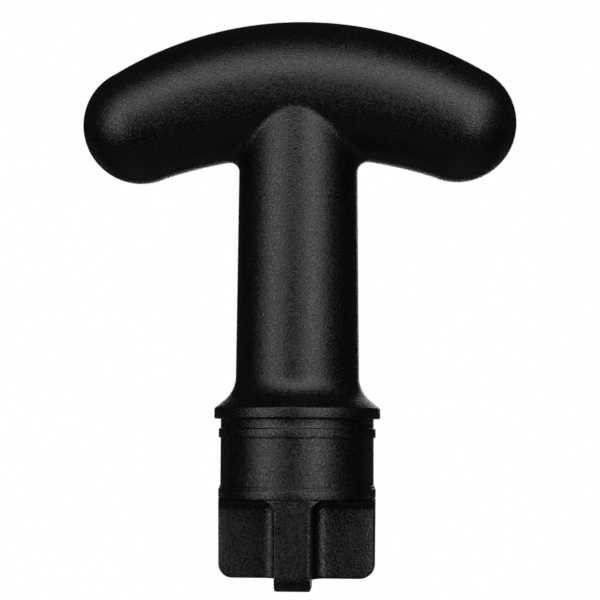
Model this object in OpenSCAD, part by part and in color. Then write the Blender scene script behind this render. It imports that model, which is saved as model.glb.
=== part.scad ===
// T-shaped grip for the upper end of a paddle's shaft, moulded in one piece.
// A curved crossbar fills the palm, a round neck carries it down to a collar that
// seats on the end of the shaft, and a plug with two rings and four crossed fins
// goes inside the shaft. All sizes are in millimetres. The origin is on the shaft's
// axis, in the plane of the collar's underside. Z points up the neck and X along the bar.

/* [Crossbar] */
// Height of the bar's centreline above the collar's underside, at the middle
bar_height = 76.8; // [72:0.1:90]
// Radius of the arc that the bar's centreline follows
bar_arc_r = 86; // [75:1:160]
// Length of that arc between the centres of the two round ends
bar_arc_len = 76.5; // [64:0.1:90]
// Height of the bar's section at the middle
bar_mid_h = 31.4; // [29:0.1:36]
// Depth of the bar's section at the middle, from front to back
bar_mid_d = 30.3; // [29:0.1:36]
// Diameter of the bar where its round ends begin
bar_end_d = 27.1; // [22:0.1:30]

/* [Neck] */
// Diameter of the neck where it meets the bar
neck_top_d = 27.6; // [24:0.1:28.5]
// Diameter of the neck at its foot, above the cove
neck_foot_d = 28.4; // [24:0.1:30]
// Radius of the fillet between the neck and the bar
neck_fillet_r = 2.5; // [1:0.1:3]
// Radius of the hollow that spreads the neck's foot towards the collar
cove_r = 6.95; // [4:0.05:9]
// Angle through which that hollow turns before it runs straight to the collar's edge
cove_turn = 50; // [40:1:60]

/* [Collar] */
// Diameter of the collar, which is flush with the outside of the shaft
collar_d = 38.1; // [37.5:0.1:42]
// Height of the collar's wall at its rim
collar_t = 2.4; // [1.5:0.05:4]
// Radius of the collar's rounded edges
collar_edge_r = 0.4; // [0.1:0.05:0.6]

/* [Plug] */
// Diameter of the plug's plain wall
plug_d = 35.1; // [34:0.05:35.6]
// Diameter over the two rings that grip the inside of the shaft
ring_d = 36; // [35.8:0.05:37]
// Distance from the collar's underside to the upper ring
upper_ring_drop = 2.1; // [1:0.1:4]
// Height of the upper ring
upper_ring_h = 2.2; // [1.5:0.1:4]
// Distance from the collar's underside to the lower edge of the lower ring
plug_len = 17.8; // [15:0.1:24]
// Height of the lower ring
lower_ring_h = 2.2; // [1.5:0.1:4]
// Height of the small step above the lower ring
step_h = 0.5; // [0.2:0.1:1]
// How far that step stands out from the plug's wall
step_out = 0.2; // [0.1:0.05:0.25]
// Radius of the rings' rounded edges
ring_edge_r = 0.15; // [0.05:0.05:0.2]

/* [Fins] */
// Thickness of each fin
fin_t = 7.9; // [5:0.1:9]
// Reach of the fins below the plug's lower ring
fin_len = 18; // [12:0.1:24]
// How far the front fin's tongue reaches below the other fins
tongue_len = 1.8; // [0.8:0.1:3]
// Depth of the tongue from the front fin's flat face
tongue_depth = 8.9; // [6:0.1:9.8]
// Radius of the tongue's lower side corners
tongue_edge_r = 0.6; // [0.1:0.1:0.7]
// Distance of the front and back fins' flat faces from the axis
front_flat = 17.5; // [16:0.05:17.5]
// How much the side fins' reach from the axis shrinks towards their tips
fin_draft = 0.15; // [0.05:0.05:0.6]
// Radius of the fins' outer lower corners
fin_corner_r = 3; // [1:0.1:5]
// Radius of the fillets between the fins, and between the fins and the lower ring
fin_fillet_r = 3; // [1.5:0.1:3.5]

/* [Hidden] */

// Sides of the bar's section, and of everything turned
around = 40;
turned = 96;
// Rings of the bar: from its middle to the edge of the neck's patch, from there to the round end,
// and over that end
patch_rings = 8;
arm_rings = 6;
dome_rings = 8;
// Steps along the bar's skin from the patch's edge to the fillet, and across the fillet
skin_steps = 3;
fillet_steps = 6;
// Steps of an arc of a turned profile, for a quarter of a circle
arc_steps = 9;
edge_steps = 3;
// Halvings that place the fillet on the bar's skin
halvings = 24;

neck_r = neck_top_d / 2;
half_len = bar_arc_len / 2;
// Half of the patch of skin around the neck: along the bar, and in sides of its section
patch_s = neck_r + neck_fillet_r + 6;
patch_k = around / 4;
// Length of straight neck that belongs to the bar's head, under the lowest point of the fillet
stub_len = 1.5;
upper_ring_z = -upper_ring_drop;
lower_ring_z = -plug_len + lower_ring_h;
collar_r = collar_d / 2;
ring_r = ring_d / 2;
// Where the cove's arc ends, and its centre above that
cove_end_x = neck_foot_d / 2 + cove_r * (1 - cos(cove_turn));
cove_end_z = collar_t + (collar_r - cove_end_x) / tan(cove_turn);
cove_z = cove_end_z + cove_r * sin(cove_turn);
// How much the head's neck narrows inside the stem's, so that their walls don't run into each other
tuck = 0.05;
// Depth of fin that stands inside the plug, where it can't be seen
fin_root = 2;
overlap = 1;
far = ring_d;

function unit(v) = v / norm(v);
function flat_norm(v) = norm([v.x, v.y]);
function arc(centre, r, from, to, steps) =
    [for (i = [0:steps]) let (a = from + (to - from) * i / steps) centre + r * [cos(a), sin(a)]];

// The bar's skin: s runs along the centreline's arc, v round the section from its lowest point
function turn(s) = s / bar_arc_r * 180 / PI;
function out(s) = [sin(turn(s)), 0, cos(turn(s))];
function along(s) = [cos(turn(s)), 0, -sin(turn(s))];
function centre(s) = [0, 0, bar_height - bar_arc_r] + bar_arc_r * out(s);
function half_size(mid, s) = (mid + (bar_end_d - mid) * pow(s / half_len, 2)) / 2;
function skin(s, v) =
    centre(s) - half_size(bar_mid_h, s) * cos(v) * out(s) + [0, half_size(bar_mid_d, s) * sin(v), 0];
function skin_normal(s, v) =
    unit(cross(skin(s, v + 0.05) - skin(s, v - 0.05), skin(s + 0.01, v) - skin(s - 0.01, v)));

// A round end: q turns from the end's rim, at 0, to its pole, at 90
function dome(side, q, v) =
    centre(side * half_len) + bar_end_d / 2 * (side * sin(q) * along(side * half_len)
        + cos(q) * (sin(v) * [0, 1, 0] - cos(v) * out(side * half_len)));

// A ball of the fillet's radius rolls round the neck against the bar. On the line of skin from under the
// bar to (s, v), it touches at the share where its centre is the fillet's radius away from the neck too
function ball(s, v) = skin(s, v) + neck_fillet_r * skin_normal(s, v);
function touch(s, v, low, high, n) =
    let (m = (low + high) / 2)
    n == 0 ? m
    : flat_norm(ball(m * s, m * v)) < neck_r + neck_fillet_r ? touch(s, v, m, high, n - 1)
    : touch(s, v, low, m, n - 1);

// One line of the patch, from its edge over the skin, across the fillet and down the neck
function swing(a, b, t) =
    let (w = acos(a * b)) (sin((1 - t) * w) * a + sin(t * w) * b) / sin(w);
function patch_line(s, v, foot) =
    let (
        share = touch(s, v, 0.2, 1, halvings),
        c = ball(share * s, share * v),
        to_skin = -skin_normal(share * s, share * v),
        to_neck = -unit([c.x, c.y, 0])
    )
    concat(
        [for (i = [1:skin_steps - 1]) let (m = 1 + (share - 1) * i / skin_steps) skin(m * s, m * v)],
        [for (i = [0:fillet_steps]) c + neck_fillet_r * swing(to_skin, to_neck, i / fillet_steps)],
        [[0, 0, foot] - (neck_r - tuck) * to_neck]
    );

// Lowest height at which the fillet meets the neck: under the bar, to either side
fillet_low = ball(touch(patch_s, 0, 0.2, 1, halvings) * patch_s, 0).z;
stub_z = fillet_low - stub_len;

// Rings of the bar from its left end to its right end, each a list of [kind, place] pairs
arm_places = concat(
    [for (i = [0:patch_rings]) patch_s * i / patch_rings],
    [for (i = [1:arm_rings]) patch_s + (half_len - patch_s) * i / arm_rings]
);
n_arm = len(arm_places) - 1;
n_half = n_arm + dome_rings - 1;
function ring_point(i, v) =
    let (side = sign(i), m = abs(i))
    m <= n_arm ? skin(side * arm_places[m], v) : dome(side, 90 * (m - n_arm) / dome_rings, v);
function ring_index(i, k) = (i + n_half) * around + (k + around) % around;

// The patch's edge, once round, as [ring, side] pairs, and its lines of points
edge = concat(
    [for (k = [-patch_k:patch_k - 1]) [patch_rings, k]],
    [for (i = [patch_rings:-1:-patch_rings + 1]) [i, patch_k]],
    [for (k = [patch_k:-1:-patch_k + 1]) [-patch_rings, k]],
    [for (i = [-patch_rings:patch_rings - 1]) [i, -patch_k]]
);
n_edge = len(edge);
n_line = skin_steps + fillet_steps + 1;
lines = [for (e = edge) patch_line(sign(e[0]) * arm_places[abs(e[0])], e[1] * 360 / around, stub_z - overlap)];

bar_points = [for (i = [-n_half:n_half], k = [0:around - 1]) ring_point(i, k * 360 / around)];
poles = [dome(-1, 90, 0), dome(1, 90, 0)];
line_points = [for (l = lines, p = l) p];
pole_index = len(bar_points);
line_start = pole_index + 2;
function line_index(j, row) =
    row == 0 ? ring_index(edge[j % n_edge][0], edge[j % n_edge][1])
    : line_start + (j % n_edge) * n_line + row - 1;
function quad(a, b, c, d) = [[a, b, c], [a, c, d]];
function in_patch(i, k) =
    i >= -patch_rings && i < patch_rings && (k < patch_k || k >= around - patch_k);

head_faces = concat(
    [for (i = [-n_half:n_half - 1], k = [0:around - 1]) if (!in_patch(i, k))
        for (f = quad(ring_index(i, k), ring_index(i + 1, k), ring_index(i + 1, k + 1), ring_index(i, k + 1))) f],
    [for (k = [0:around - 1]) [pole_index, ring_index(-n_half, k), ring_index(-n_half, k + 1)]],
    [for (k = [0:around - 1]) [pole_index + 1, ring_index(n_half, k + 1), ring_index(n_half, k)]],
    [for (j = [0:n_edge - 1], r = [0:n_line - 1])
        for (f = quad(line_index(j, r), line_index(j + 1, r), line_index(j + 1, r + 1), line_index(j, r + 1))) f],
    [[for (j = [0:n_edge - 1]) line_index(j, n_line)]]
);

// The crossbar with the fillet and the first stretch of the neck under it
module head() {
    polyhedron(points = concat(bar_points, poles, line_points), faces = head_faces);
}

// Outer outline of a ring, from its upper to its lower edge, with both edges rounded
function rim(r, top, bottom, edge_r) = concat(
    arc([r - edge_r, top - edge_r], edge_r, 90, 0, edge_steps),
    arc([r - edge_r, bottom + edge_r], edge_r, 0, -90, edge_steps)
);

// Half of the turned shape: neck, cove, collar and plug, and the round that the side fins are cut from
stem_outline = concat(
    [[0, stub_z], [neck_r, stub_z]],
    arc([neck_foot_d / 2 + cove_r, cove_z], cove_r, 180, 180 + cove_turn, arc_steps),
    arc(
        [collar_r - collar_edge_r, collar_t - collar_edge_r * (1 - cos(cove_turn)) / sin(cove_turn)],
        collar_edge_r, cove_turn, 0, edge_steps
    ),
    arc([collar_r - collar_edge_r, collar_edge_r], collar_edge_r, 0, -90, edge_steps),
    [[plug_d / 2, 0], [plug_d / 2, upper_ring_z]],
    rim(ring_r, upper_ring_z, upper_ring_z - upper_ring_h, ring_edge_r),
    [
        [plug_d / 2, upper_ring_z - upper_ring_h],
        [plug_d / 2, lower_ring_z + step_h],
        [plug_d / 2 + step_out, lower_ring_z + step_h],
        [plug_d / 2 + step_out, lower_ring_z]
    ],
    rim(ring_r, lower_ring_z, -plug_len, ring_edge_r),
    [[ring_r, -plug_len - ring_edge_r]],
    arc(
        [ring_r - fin_draft - fin_corner_r, -plug_len - fin_len + fin_corner_r],
        fin_corner_r, 0, -90, arc_steps
    ),
    [[0, -plug_len - fin_len]]
);

module stem() {
    rotate_extrude($fn = turned) polygon(stem_outline);
}

// Outline of the front and back fins, seen along the crossbar: flat outer faces, rounded outer
// lower corners, and the tongue under the front fin
module fin_side() {
    foot = -plug_len - fin_len;
    polygon(concat(
        [[-front_flat, -plug_len], [-front_flat + overlap, -plug_len + fin_root]],
        [[front_flat - overlap, -plug_len + fin_root], [front_flat, -plug_len]],
        arc([front_flat - fin_corner_r, foot + fin_corner_r], fin_corner_r, 0, -90, arc_steps),
        [[-front_flat + tongue_depth, foot], [-front_flat + tongue_depth, foot - tongue_len]],
        arc([-front_flat + fin_corner_r, foot - tongue_len + fin_corner_r], fin_corner_r, -90, -180, arc_steps)
    ));
}

// The same fins seen from the front, with the tongue's lower side corners rounded
module fin_front() {
    half = fin_t / 2 - tongue_edge_r;
    foot = -plug_len - fin_len - tongue_len + tongue_edge_r;
    polygon(concat(
        [[-fin_t / 2, -plug_len + fin_root], [fin_t / 2, -plug_len + fin_root]],
        arc([half, foot], tongue_edge_r, 0, -90, edge_steps),
        arc([-half, foot], tongue_edge_r, -90, -180, edge_steps)
    ));
}

// The front and back fins in one plate
module front_fins() {
    intersection() {
        rotate([90, 0, 90]) linear_extrude(height = far, center = true) fin_side();
        rotate([90, 0, 0]) linear_extrude(height = 2 * far, center = true) fin_front();
    }
}

// What lies outside the flat faces of the front and back fins
module flat_cut() {
    for (side = [0, 180])
        rotate(side)
            translate([-far, front_flat, -plug_len - far]) cube([2 * far, far, far]);
}

// Section of a hollow's edge: a quarter of the plane with its corner rounded
module quarter() {
    polygon(concat([[far, 0]], arc([fin_fillet_r, -fin_fillet_r], fin_fillet_r, 90, 180, arc_steps),
        [[0, -far], [far, -far]]));
}

// The hollow between two neighbouring fins, open outwards and downwards
module pocket() {
    translate([fin_t / 2, fin_t / 2, -plug_len])
        intersection() {
            translate([0, 0, -far])
                linear_extrude(height = far + overlap) mirror([0, 1]) quarter();
            translate([-overlap, 0, 0]) rotate([90, 0, 90])
                linear_extrude(height = far + overlap) quarter();
            translate([0, far, 0]) rotate([90, 0, 0])
                linear_extrude(height = far + overlap) quarter();
        }
}

module grip() {
    color([0.035, 0.037, 0.04]) {
        head();
        difference() {
            union() {
                stem();
                front_fins();
            }
            for (a = [0:90:270]) rotate(a) pocket();
            flat_cut();
        }
    }
}

grip();
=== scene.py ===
import math

import bmesh
import bpy
import numpy as np
from mathutils import Matrix, Vector


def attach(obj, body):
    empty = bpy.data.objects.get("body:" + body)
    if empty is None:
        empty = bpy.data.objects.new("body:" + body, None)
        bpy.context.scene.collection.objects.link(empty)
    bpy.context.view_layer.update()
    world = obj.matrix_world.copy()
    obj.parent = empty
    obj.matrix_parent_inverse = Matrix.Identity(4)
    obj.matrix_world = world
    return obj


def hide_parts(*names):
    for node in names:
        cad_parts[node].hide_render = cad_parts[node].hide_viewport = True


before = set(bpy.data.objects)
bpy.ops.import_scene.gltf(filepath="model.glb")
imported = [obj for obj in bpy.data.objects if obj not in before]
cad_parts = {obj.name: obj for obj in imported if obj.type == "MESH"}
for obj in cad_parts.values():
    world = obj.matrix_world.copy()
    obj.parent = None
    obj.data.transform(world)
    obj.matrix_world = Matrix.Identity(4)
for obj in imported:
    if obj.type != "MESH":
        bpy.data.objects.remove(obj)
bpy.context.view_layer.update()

# Camera. It stands 0.34 m in front of the plug, a little to the right, and looks slightly up,
# as the photograph was taken.
distance, side_angle, height = 0.340, math.radians(3.513), -0.00135
tilt_up, turn_left, lean = math.radians(4.842), math.radians(0.085), math.radians(0.244)
heading = side_angle - turn_left
ahead = Vector((-math.sin(heading) * math.cos(tilt_up), math.cos(heading) * math.cos(tilt_up),
                math.sin(tilt_up)))
level_right = Vector((math.cos(heading), math.sin(heading), 0))
level_up = level_right.cross(ahead)
right = math.cos(lean) * level_right + math.sin(lean) * level_up
up = math.cos(lean) * level_up - math.sin(lean) * level_right
lens = bpy.data.cameras.new("camera")
lens.sensor_width, lens.lens = 36, 88.49
camera = bpy.data.objects.new("camera", lens)
camera.matrix_world = Matrix.Translation(
    (distance * math.sin(side_angle), -distance * math.cos(side_angle), height)
) @ Matrix((right, up, -ahead)).transposed().to_4x4()
bpy.context.scene.collection.objects.link(camera)
bpy.context.scene.camera = camera

# The grip. One moulding of black plastic with a fine even grain: a curved bar, a round neck, a
# collar, and a plug with two rings and four crossed fins, pressed into the shaft's end. The sizes,
# in millimetres, are the solid's, but small edges and corners of plug and fins are rounder here.
bar_height, bar_arc_r, bar_arc_len = 76.8, 86.0, 76.5
bar_mid_h, bar_mid_d, bar_end_d = 31.4, 30.3, 27.1
neck_top_r, neck_foot_r, neck_fillet_r = 13.8, 14.2, 2.5
cove_r, cove_turn = 6.95, math.radians(50)
collar_r, collar_t, collar_edge_r = 19.05, 2.4, 0.4
lip_run, lip_rise = 0.5, 0.42
plug_r, ring_r, ring_edge_r = 17.55, 18.0, 0.25
seat_corner_r, ring_corner_r = 0.2, 0.15
upper_ring_top, upper_ring_foot = -2.1, -4.3
lower_ring_top, plug_foot = -15.6, -17.8
step_h, step_out, step_edge_r = 0.5, 0.2, 0.1
fin_t, fin_fillet_r, fin_corner_r, fin_edge_r = 7.9, 3.0, 3.0, 0.3
side_fin_foot, front_fin_foot = -35.8, -37.6
fin_tip_r, front_flat = 17.85, 17.5
tongue_depth, tongue_edge_r = 8.9, 0.6
no_limit = 99

# Sides of the bar's section, and rings of the bar: to the edge of the patch that the neck grows
# from, from there to the round end, and over that end. The patch goes a little past the fillet.
around, patch_rings, arm_rings, dome_rings = 80, 16, 14, 16
patch_margin = 6
# Steps over half of one fin: its outer face, its edge, its wall as far in as the tongue goes, the
# rest of its wall and half of the fillet beside it.
face_steps, edge_steps, wall_steps, fillet_steps = 6, 3, 4, 4
half_steps = face_steps + edge_steps + wall_steps + 1 + fillet_steps
tongue_steps = face_steps + edge_steps + wall_steps
# Rows of points down the skin: over the patch, the fillet, the stub under it, the neck, the cove
# with its straight lip, the plug's plain wall, and the fins' flare, wall, lower corners and tongue.
patch_rows, fillet_rows, stub_rows, neck_rows, cove_rows, lip_rows = 8, 12, 5, 24, 12, 3
plain_rows, flare_rows, fin_rows, corner_rows, tongue_rows = 5, 10, 8, 12, 14
# The same round a small corner or the step's edge, and round the rims of the collar and rings.
small_rows, rim_rows = 3, 4


def bar_frame(s):
    """Arc of radius bar_arc_r about a point under its apex: at length s it has turned by
    s / bar_arc_r. Gives the point on the centreline and the direction out of the arc."""
    a = s / bar_arc_r
    out = np.stack([np.sin(a), 0 * a, np.cos(a)], -1)
    return np.array([0, 0, bar_height - bar_arc_r]) + bar_arc_r * out, out


def skin(s, v):
    """Bar's surface: round the centreline's point at s, an ellipse read from its lowest point
    by angle v. Its two half sizes shrink as the square of s towards the round ends."""
    middle, out = bar_frame(s)
    share = (s / (bar_arc_len / 2)) ** 2
    tall = (bar_mid_h + (bar_end_d - bar_mid_h) * share) / 2
    deep = (bar_mid_d + (bar_end_d - bar_mid_d) * share) / 2
    return (middle - (tall * np.cos(v))[..., None] * out
            + (deep * np.sin(v))[..., None] * np.array([0, 1, 0]))


def skin_normal(s, v):
    """Unit cross product of the surface's two slopes, taken over small steps."""
    n = np.cross(skin(s, v + 1e-4) - skin(s, v - 1e-4), skin(s + 1e-3, v) - skin(s - 1e-3, v))
    return n / np.linalg.norm(n, axis=-1, keepdims=True)


def dome(side, q, v):
    """Half ball on the bar's end: q runs from its rim at 0 to its pole at a quarter turn."""
    a = side * bar_arc_len / 2 / bar_arc_r
    middle, out = bar_frame(np.asarray(side * bar_arc_len / 2))
    along = side * np.array([math.cos(a), 0, -math.sin(a)])
    rim = np.sin(v)[..., None] * np.array([0, 1, 0]) - np.cos(v)[..., None] * out
    return middle + bar_end_d / 2 * (np.sin(q)[..., None] * along + np.cos(q)[..., None] * rim)


def ball_centre(s, v):
    """Centre of a ball of the fillet's radius that touches the bar's skin from outside."""
    return skin(s, v) + neck_fillet_r * skin_normal(s, v)


def arc(middle, r, start, end, steps):
    """Points of a circle from one angle to another, both in degrees, as rows of radius and height."""
    a = np.radians(np.linspace(start, end, steps + 1))
    return np.stack([middle[0] + r * np.cos(a), middle[1] + r * np.sin(a)], -1)


def fin_half(w, w_mid, reach, flat):
    """Half of a fin's section, from the middle of its outer face to the middle of the fillet
    beside it: the face lies on the circle of radius reach or on the flat, whichever is nearer,
    the edge is a small quarter circle, and the fillet is half of a quarter circle whose centre
    stays put while w widens the fin, as under the ring."""
    h, centre = fin_t / 2 + w, fin_t / 2 + fin_fillet_r
    y = np.linspace(0, h - fin_edge_r, face_steps + 1)
    face = np.stack([np.minimum(flat, np.sqrt(reach**2 - y**2)), y], -1)
    a = np.radians(np.linspace(0, 90, edge_steps + 1))[1:]
    edge = face[-1] + fin_edge_r * np.stack([np.cos(a) - 1, np.sin(a)], -1)
    inner = np.array([front_flat - tongue_depth, h])
    wall = np.concatenate([np.linspace(edge[-1], inner, wall_steps + 1)[1:], [[centre, h]]])
    t = np.linspace(0, 1, fillet_steps + 1)[1:]
    r = fin_fillet_r - w - (w_mid - w) * t
    b = -np.radians(90 + 45 * t)
    fillet = centre + r[:, None] * np.stack([np.cos(b), np.sin(b)], -1)
    return np.concatenate([face, edge, wall, fillet])


def fin_loop(halves):
    """Section of all four fins, once round from the middle of the front right hollow: each fin
    is its first half mirrored, then its second half, turned by a quarter turn more each time."""
    loop = []
    for turn, (before, after) in enumerate(halves):
        fin = np.concatenate([before[:0:-1] * [1, -1], after[:-1]])
        c, s = [(1, 0), (0, 1), (-1, 0), (0, -1)][turn]
        loop.append(fin @ np.array([[c, s], [-s, c]]))
    return np.concatenate(loop)


def lift(section, z):
    """A flat section as points at height z."""
    return np.column_stack([section, np.full(len(section), z)])


def rounding(depth, r):
    """How far a quarter circle of radius r stands back from its wall, at a depth under its end."""
    d = np.clip(depth, 0, r)
    return r - np.sqrt(r**2 - (r - d) ** 2)


# Bar: rings of points from its left end to its right end, with a pole at each end.
half_arc = bar_arc_len / 2
ball_path_r = neck_top_r + neck_fillet_r
patch_s = ball_path_r + patch_margin
arm_places = np.concatenate([np.linspace(0, patch_s, patch_rings + 1),
                             np.linspace(patch_s, half_arc, arm_rings + 1)[1:]])
places = np.concatenate([-arm_places[:0:-1], arm_places])
round_angles = np.arange(around) * 2 * math.pi / around
dome_angles = np.linspace(0, math.pi / 2, dome_rings + 1)[1:-1]
bar = np.concatenate([
    dome(-1, *np.broadcast_arrays(dome_angles[::-1, None], round_angles)),
    skin(*np.broadcast_arrays(places[:, None], round_angles)),
    dome(1, *np.broadcast_arrays(dome_angles[:, None], round_angles)),
])
poles = np.stack([dome(side, np.array(math.pi / 2), np.array(0.0)) for side in (-1, 1)])

# Edge of the neck's patch, once round from its front right corner, as pairs of ring and side.
side_run = np.arange(-around // 4, around // 4)
ring_run = np.arange(-patch_rings, patch_rings)
patch_edge = np.concatenate([
    np.stack([0 * side_run + patch_rings, side_run], -1),
    np.stack([-ring_run, 0 * ring_run + around // 4], -1),
    np.stack([0 * side_run - patch_rings, -side_run], -1),
    np.stack([ring_run, 0 * ring_run - around // 4], -1),
])
lines = len(patch_edge)
s_edge = np.sign(patch_edge[:, 0]) * arm_places[abs(patch_edge[:, 0])]
v_edge = patch_edge[:, 1] * 2 * math.pi / around

# A ball rolls round the neck against the bar. Along each line of the patch, from near its middle
# to its edge, halvings find where the ball touches.
halvings, nearest = 40, 0.2
low, high = np.full(lines, nearest), np.ones(lines)
for _ in range(halvings):
    touch = (low + high) / 2
    near = np.linalg.norm(ball_centre(touch * s_edge, touch * v_edge)[:, :2], axis=1) < ball_path_r
    low, high = np.where(near, touch, low), np.where(near, high, touch)
centre = ball_centre(touch * s_edge, touch * v_edge)
to_skin = -skin_normal(touch * s_edge, touch * v_edge)
to_neck = -centre * [1, 1, 0] / np.linalg.norm(centre[:, :2], axis=1, keepdims=True)
swing = np.arccos(np.sum(to_skin * to_neck, axis=1))[:, None]
rows = [skin((1 + (touch - 1) * t) * s_edge, (1 + (touch - 1) * t) * v_edge)
        for t in np.linspace(0, 1, patch_rows + 1)[1:-1]]
rows += [centre + neck_fillet_r * (np.sin((1 - t) * swing) * to_skin + np.sin(t * swing) * to_neck)
         / np.sin(swing) for t in np.linspace(0, 1, fillet_rows + 1)]

# Neck, cove, collar and plug: a turned outline of radius and height, from the fillet down.
cove_x = neck_foot_r + cove_r
cove_end = cove_x - cove_r * math.cos(cove_turn)
cove_z = collar_t + (collar_r - cove_end) / math.tan(cove_turn) + cove_r * math.sin(cove_turn)
lip_z = collar_t - collar_edge_r * (1 - math.cos(cove_turn)) / math.sin(cove_turn)
stub_len = 1.5
stub_z = centre[:, 2].min() - stub_len
outline = np.concatenate([
    np.linspace([neck_top_r, stub_z], [neck_foot_r, cove_z], neck_rows + 1)[:-1],
    arc((cove_x, cove_z), cove_r, 180, 180 + math.degrees(cove_turn), cove_rows),
    np.linspace([cove_end, cove_z - cove_r * math.sin(cove_turn)],
                [collar_r - lip_run, collar_t + lip_rise], lip_rows + 1)[1:-1],
    arc((collar_r - collar_edge_r, lip_z), collar_edge_r, math.degrees(cove_turn), 0, rim_rows),
    arc((collar_r - collar_edge_r, collar_edge_r), collar_edge_r, 0, -90, rim_rows + 1),
    arc((plug_r + seat_corner_r, -seat_corner_r), seat_corner_r, 90, 180, small_rows),
    arc((plug_r + ring_corner_r, upper_ring_top + ring_corner_r), ring_corner_r, 180, 270, small_rows),
    arc((ring_r - ring_edge_r, upper_ring_top - ring_edge_r), ring_edge_r, 90, 0, rim_rows),
    arc((ring_r - ring_edge_r, upper_ring_foot + ring_edge_r), ring_edge_r, 0, -90, rim_rows),
    [[plug_r, upper_ring_foot]],
    np.linspace([plug_r, upper_ring_foot - ring_corner_r],
                [plug_r, lower_ring_top + step_h + step_edge_r], plain_rows + 1),
    arc((plug_r + step_out - step_edge_r, lower_ring_top + step_h - step_edge_r),
        step_edge_r, 90, 0, small_rows),
    [[plug_r + step_out, lower_ring_top]],
    arc((ring_r - ring_edge_r, lower_ring_top - ring_edge_r), ring_edge_r, 90, 0, rim_rows),
    arc((ring_r - ring_edge_r, plug_foot + ring_edge_r), ring_edge_r, 0, -90, rim_rows),
])

# Fins: sections from under the lower ring to the ends. w widens a fin where it runs into the
# ring, and narrows it where its lower edge is rounded.
flare_turn = np.radians(np.linspace(0, 90, flare_rows + 1))
corner_turn = np.radians(np.linspace(0, 90, corner_rows + 1))
side_corner, front_corner = side_fin_foot + fin_corner_r, front_fin_foot + fin_corner_r
levels = np.concatenate([
    plug_foot - fin_fillet_r * (1 - np.cos(flare_turn)),
    np.linspace(plug_foot - fin_fillet_r, side_corner, fin_rows + 1)[1:-1],
    side_corner - fin_corner_r * np.sin(corner_turn),
])


def fin_section(z):
    """All four fins cut at height z, from how far each reaches and how wide it is there."""
    drop = plug_foot - z
    w = rounding(drop, fin_fillet_r)
    low_w = w - rounding(z - side_fin_foot, fin_edge_r)
    mid_w = (w + low_w) / 2
    corner = rounding(z - side_fin_foot, fin_corner_r)
    cut = ring_r - rounding(drop, ring_edge_r)
    reach = cut - (ring_r - fin_tip_r) * np.clip(drop / (plug_foot - side_corner), 0, 1) - corner
    back = fin_half(low_w, low_w, cut, front_flat - corner)
    front = fin_half(w, mid_w, cut, front_flat - rounding(z - front_fin_foot, fin_corner_r))
    by_back, by_front = fin_half(low_w, low_w, reach, no_limit), fin_half(low_w, mid_w, reach, no_limit)
    return fin_loop([(by_front, by_back), (back, back), (by_back, by_front), (front, front)])


fins = [lift(fin_section(z), z) for z in levels]

# The turned part meets the fins line by line: on a fin's outer face at the face's own angle,
# and between the fins spread evenly. Up the neck the lines drift to the angles of the fillet's.
top = np.arctan2(fins[0][:, 1], fins[0][:, 0])
index = np.arange(lines)
on_face = abs((index % (2 * half_steps)) - half_steps) <= face_steps
foot_angle = np.interp(index, np.append(index[on_face], lines + index[on_face][0]),
                       np.append(np.unwrap(top[on_face]), np.unwrap(top[on_face])[0] + 2 * math.pi))
foot_angle[: index[on_face][0]] = np.interp(
    index[: index[on_face][0]] + lines, [index[on_face][-1], lines + index[on_face][0]],
    [np.unwrap(top[on_face])[-1], top[on_face][0] + 2 * math.pi]) - 2 * math.pi
head_angle = np.unwrap(np.arctan2(centre[:, 1], centre[:, 0]))
foot_angle += 2 * math.pi * np.round((head_angle[0] - foot_angle[0]) / 2 / math.pi)
for t in np.linspace(1 / stub_rows, 1, stub_rows):
    rows.append(np.column_stack([neck_top_r * np.cos(head_angle), neck_top_r * np.sin(head_angle),
                                 (1 - t) * centre[:, 2] + t * stub_z]))
for r, z in outline[1:]:
    drift = np.clip((stub_z - z) / (stub_z - cove_z), 0, 1)
    angle = head_angle + (foot_angle - head_angle) * drift**2 * (3 - 2 * drift)
    rows.append(np.column_stack([r * np.cos(angle), r * np.sin(angle), np.full(lines, z)]))
rows += [rows[-1] + (fins[0] - rows[-1]) * t for t in (1 / 3, 2 / 3)] + fins

# The front fin's tongue, below the other fins: the lines of its face, edges and walls alone. It
# is the fourth fin of the loop, so the middle of its face lies seven half fins along.
front_middle = 7 * half_steps
tongue = (np.arange(-tongue_steps, tongue_steps + 1) + front_middle) % lines
tips = []
turned = math.asin((front_corner - side_fin_foot) / fin_corner_r)
for turn in np.linspace(turned, math.pi / 2, tongue_rows + 1)[1:]:
    z = front_corner - fin_corner_r * math.sin(turn)
    w = -float(rounding(z - front_fin_foot, tongue_edge_r))
    half = fin_half(w, w, no_limit, front_flat - fin_corner_r * (1 - math.cos(turn)))[: tongue_steps + 1]
    loop = np.concatenate([half[:0:-1] * [1, -1], half])
    tips.append(lift(np.stack([loop[:, 1], -loop[:, 0]], -1), z))

# Points and faces, numbered ring by ring, with every face's corners in the same turn.
n_rings = len(bar)
ring_at = n_rings // 2
pole_at = n_rings * around
row_at = pole_at + 2
tip_at = row_at + len(rows) * lines
points = np.concatenate([bar.reshape(-1, 3), poles, np.concatenate(rows), np.concatenate(tips)])


def quads(upper, lower):
    """Faces between two closed rows of point numbers, upper and lower seen from outside."""
    return np.stack([upper, lower, np.roll(lower, -1, -1), np.roll(upper, -1, -1)], -1).reshape(-1, 4)


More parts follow.
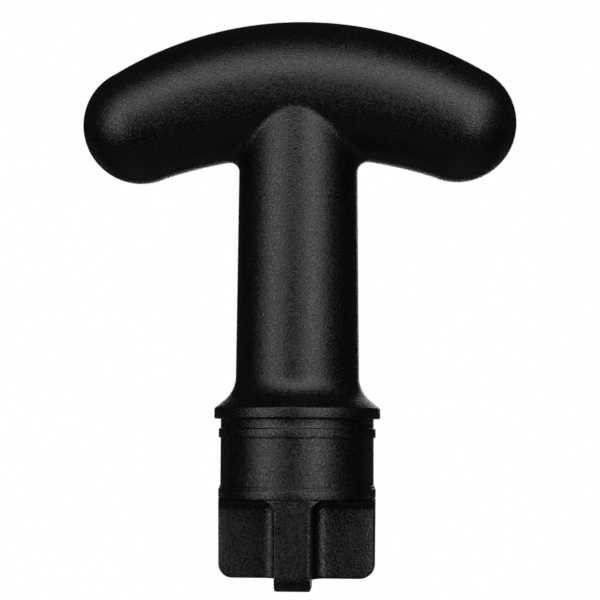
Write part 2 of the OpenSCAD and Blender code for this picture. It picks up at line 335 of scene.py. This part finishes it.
grid = np.arange(n_rings * around).reshape(n_rings, around)
cells = np.stack([grid[:-1], np.roll(grid, -1, 1)[:-1], np.roll(grid, -1, 1)[1:], grid[1:]], -1)
ring = np.arange(n_rings - 1)[:, None] - ring_at
side = np.arange(around)[None, :]
below = (side < around // 4) | (side >= around - around // 4)
in_patch = (ring >= -patch_rings) & (ring < patch_rings) & below
first_row = (patch_edge[:, 0] + ring_at) * around + patch_edge[:, 1] % around
row_numbers = np.vstack([first_row, row_at + np.arange(len(rows) * lines).reshape(-1, lines)])
tip_numbers = np.vstack([row_numbers[-1][tongue],
                         tip_at + np.arange(len(tips) * len(tongue)).reshape(-1, len(tongue))])
ends = np.concatenate([
    np.stack([np.full(around, pole_at), np.roll(grid[0], -1), grid[0]], -1),
    np.stack([np.full(around, pole_at + 1), grid[-1], np.roll(grid[-1], -1)], -1),
])
fins_end = row_numbers[-1][~np.isin(np.arange(lines), tongue[1:-1])]
faces = cells[~in_patch].tolist() + ends.tolist() + quads(row_numbers[:-1], row_numbers[1:]).tolist()
faces += quads(tip_numbers[:-1], tip_numbers[1:]).tolist()
faces += [fins_end[::-1].tolist(), tip_numbers[-1][::-1].tolist()]

mesh = bpy.data.meshes.new("moulded_grip")
mesh.from_pydata((points * 0.001).tolist(), [], faces)
mesh.update()
grip = bpy.data.objects.new("moulded_grip", mesh)
bpy.context.scene.collection.objects.link(grip)

# Points that fall together are merged, in metres, and only edges sharper than the crease stay hard.
merge_within, empty_within, crease = 2e-6, 1e-7, math.radians(32)
merged = bmesh.new()
merged.from_mesh(mesh)
bmesh.ops.remove_doubles(merged, verts=merged.verts, dist=merge_within)
bmesh.ops.dissolve_degenerate(merged, edges=merged.edges, dist=empty_within)
merged.to_mesh(mesh)
merged.free()
mesh.shade_smooth()
mesh.set_sharp_from_angle(angle=crease)


class Wire:
    """A shader socket that takes part in sums: an expression on wires adds its Math nodes."""

    def __init__(self, tree, socket=None):
        self.tree, self.socket = tree, socket

    def node(self, kind, settings=(), output=0, **values):
        """Adds a node: its settings first, then the values or wires of its sockets."""
        made = self.tree.nodes.new(kind)
        for name, value in dict(settings).items():
            setattr(made, name, value)
        for name, value in values.items():
            key = int(name[1:]) if name[0] == "i" and name[1:].isdigit() else name.replace("_", " ")
            if isinstance(value, Wire):
                self.tree.links.new(value.socket, made.inputs[key])
            else:
                made.inputs[key].default_value = value
        return Wire(self.tree, made.outputs[output] if made.outputs else None)

    def maths(self, operation, *values):
        """Adds a Math node over the values or wires, in their order."""
        sockets = {f"i{n}": x for n, x in enumerate(values)}
        return self.node("ShaderNodeMath", {"operation": operation}, **sockets)

    def __add__(self, other):
        return self.maths("ADD", self, other)

    def __mul__(self, other):
        return self.maths("MULTIPLY", self, other)

    __radd__, __rmul__ = __add__, __mul__


plastic = bpy.data.materials.new("grained_black_plastic")
plastic.use_nodes = True
plastic.node_tree.nodes.clear()
start = Wire(plastic.node_tree)
place = start.node("ShaderNodeTexCoord", output="Object")
# The grain: peaks and dips about 0.3 mm across in the surface, and cells of 0.4 mm in its gloss.
grain = start.node("ShaderNodeTexNoise", Vector=place, Scale=3600.0, Detail=0.0)
gloss_cells = start.node("ShaderNodeTexVoronoi", Vector=place, Scale=2400.0)
# The moulding's slow unevenness, over some 10 mm.
patches = start.node("ShaderNodeTexNoise", Vector=place, Scale=90.0, Detail=3.0, Roughness=0.5)
bump = start.node("ShaderNodeBump", output="Normal", Strength=1.0, Distance=0.000085, Height=grain)
tone = start.node("ShaderNodeMix", {"data_type": "RGBA"}, output=2, i0=patches * 0.5 + 0.5 * grain,
                  i6=(0.0005, 0.0005, 0.0006, 1), i7=(0.0018, 0.0018, 0.002, 1))
surface = start.node("ShaderNodeBsdfPrincipled", Base_Color=tone, IOR=1.54,
                     Roughness=0.06 + 0.08 * patches + 0.4 * gloss_cells, Normal=bump)
start.node("ShaderNodeOutputMaterial", Surface=surface)
mesh.materials.append(plastic)

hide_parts("grip")
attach(grip, "root")

# Floor. A plain pale one far under the grip, which is held by its plug. It is pale to the eye,
# and in reflections only at its far end behind the grip, so that it throws no light up under it.
floor_z, floor_reach, floor_behind = -2.0, 12.0, 10.5
floor_paleness = 0.85


def shows_background(wire, way, limit):
    """1 for rays from the eye, and for mirrored or bent rays where way's Y is over the limit."""
    eye, mirror, through = (wire.node("ShaderNodeLightPath", output=ray) for ray in (
        "Is Camera Ray", "Is Glossy Ray", "Is Transmission Ray"))
    y = wire.node("ShaderNodeSeparateXYZ", output="Y", Vector=way)
    return wire.maths("MAXIMUM", eye, wire.maths("GREATER_THAN", y, limit) * (mirror + through))


floor_mesh = bpy.data.meshes.new("floor")
floor_mesh.from_pydata([(-floor_reach, -floor_reach, floor_z), (floor_reach, -floor_reach, floor_z),
                        (floor_reach, floor_reach, floor_z), (-floor_reach, floor_reach, floor_z)],
                       [], [(0, 1, 2, 3)])
floor = bpy.data.objects.new("floor", floor_mesh)
bpy.context.scene.collection.objects.link(floor)
floor_paint = bpy.data.materials.new("pale_floor")
floor_paint.use_nodes = True
floor_paint.node_tree.nodes.clear()
under = Wire(floor_paint.node_tree)
spot = under.node("ShaderNodeTexCoord", output="Object")
matt = under.node("ShaderNodeBsdfDiffuse", Color=(0.9, 0.9, 0.9, 1))
pale = under.node("ShaderNodeEmission", Color=(1, 1, 1, 1), Strength=1.0)
shown = floor_paleness * shows_background(under, spot, floor_behind)
under.node("ShaderNodeOutputMaterial",
           Surface=under.node("ShaderNodeMixShader", i0=shown, i1=matt, i2=pale))
floor_mesh.materials.append(floor_paint)

# World. White to the eye, and in reflections within 10 degrees of straight behind the grip, where
# it draws the thin bright lines along the grip's sides. It gives only a trace of light besides.
world_behind, world_light = 0.985, 0.02
world = bpy.data.worlds.new("world")
bpy.context.scene.world = world
world.use_nodes = True
world.node_tree.nodes.clear()
air = Wire(world.node_tree)
outlook = air.node("ShaderNodeTexCoord", output="Generated")
dim = air.node("ShaderNodeBackground", Color=(1, 1, 1, 1), Strength=world_light)
white = air.node("ShaderNodeBackground", Color=(1, 1, 1, 1), Strength=1.0)
air.node("ShaderNodeOutputWorld", Surface=air.node(
    "ShaderNodeMixShader", i0=shows_background(air, outlook, world_behind), i1=dim, i2=white))

# Lamps. A long soft box above the front, one at each side of it, and a weak one behind the grip
# that shows the form of its back.
lamp_distance, grip_middle = 0.9, Vector((0, 0, 0.03))


def softbox(name, azimuth, elevation, width, height, power):
    """A soft lamp that faces the middle of the grip, placed by its angle to the right of straight
    ahead and its angle above level."""
    lamp = bpy.data.lights.new(name, "AREA")
    lamp.shape, lamp.size, lamp.size_y, lamp.energy = "RECTANGLE", width, height, power
    a, e = math.radians(azimuth), math.radians(elevation)
    away = Vector((math.sin(a) * math.cos(e), -math.cos(a) * math.cos(e), math.sin(e)))
    box = bpy.data.objects.new(name, lamp)
    box.matrix_world = (Matrix.Translation(grip_middle + lamp_distance * away)
                        @ away.to_track_quat("Z", "Y").to_matrix().to_4x4())
    bpy.context.scene.collection.objects.link(box)


softbox("top_softbox", 8, 37, 1.8, 0.4, 6.4)
softbox("left_softbox", -43, 2, 0.4, 0.5, 1.85)
softbox("right_softbox", 31, 2, 0.4, 0.5, 1.95)
softbox("back_softbox", 180, 12, 0.5, 0.4, 1.2)

bpy.context.scene.view_settings.view_transform = "Standard"
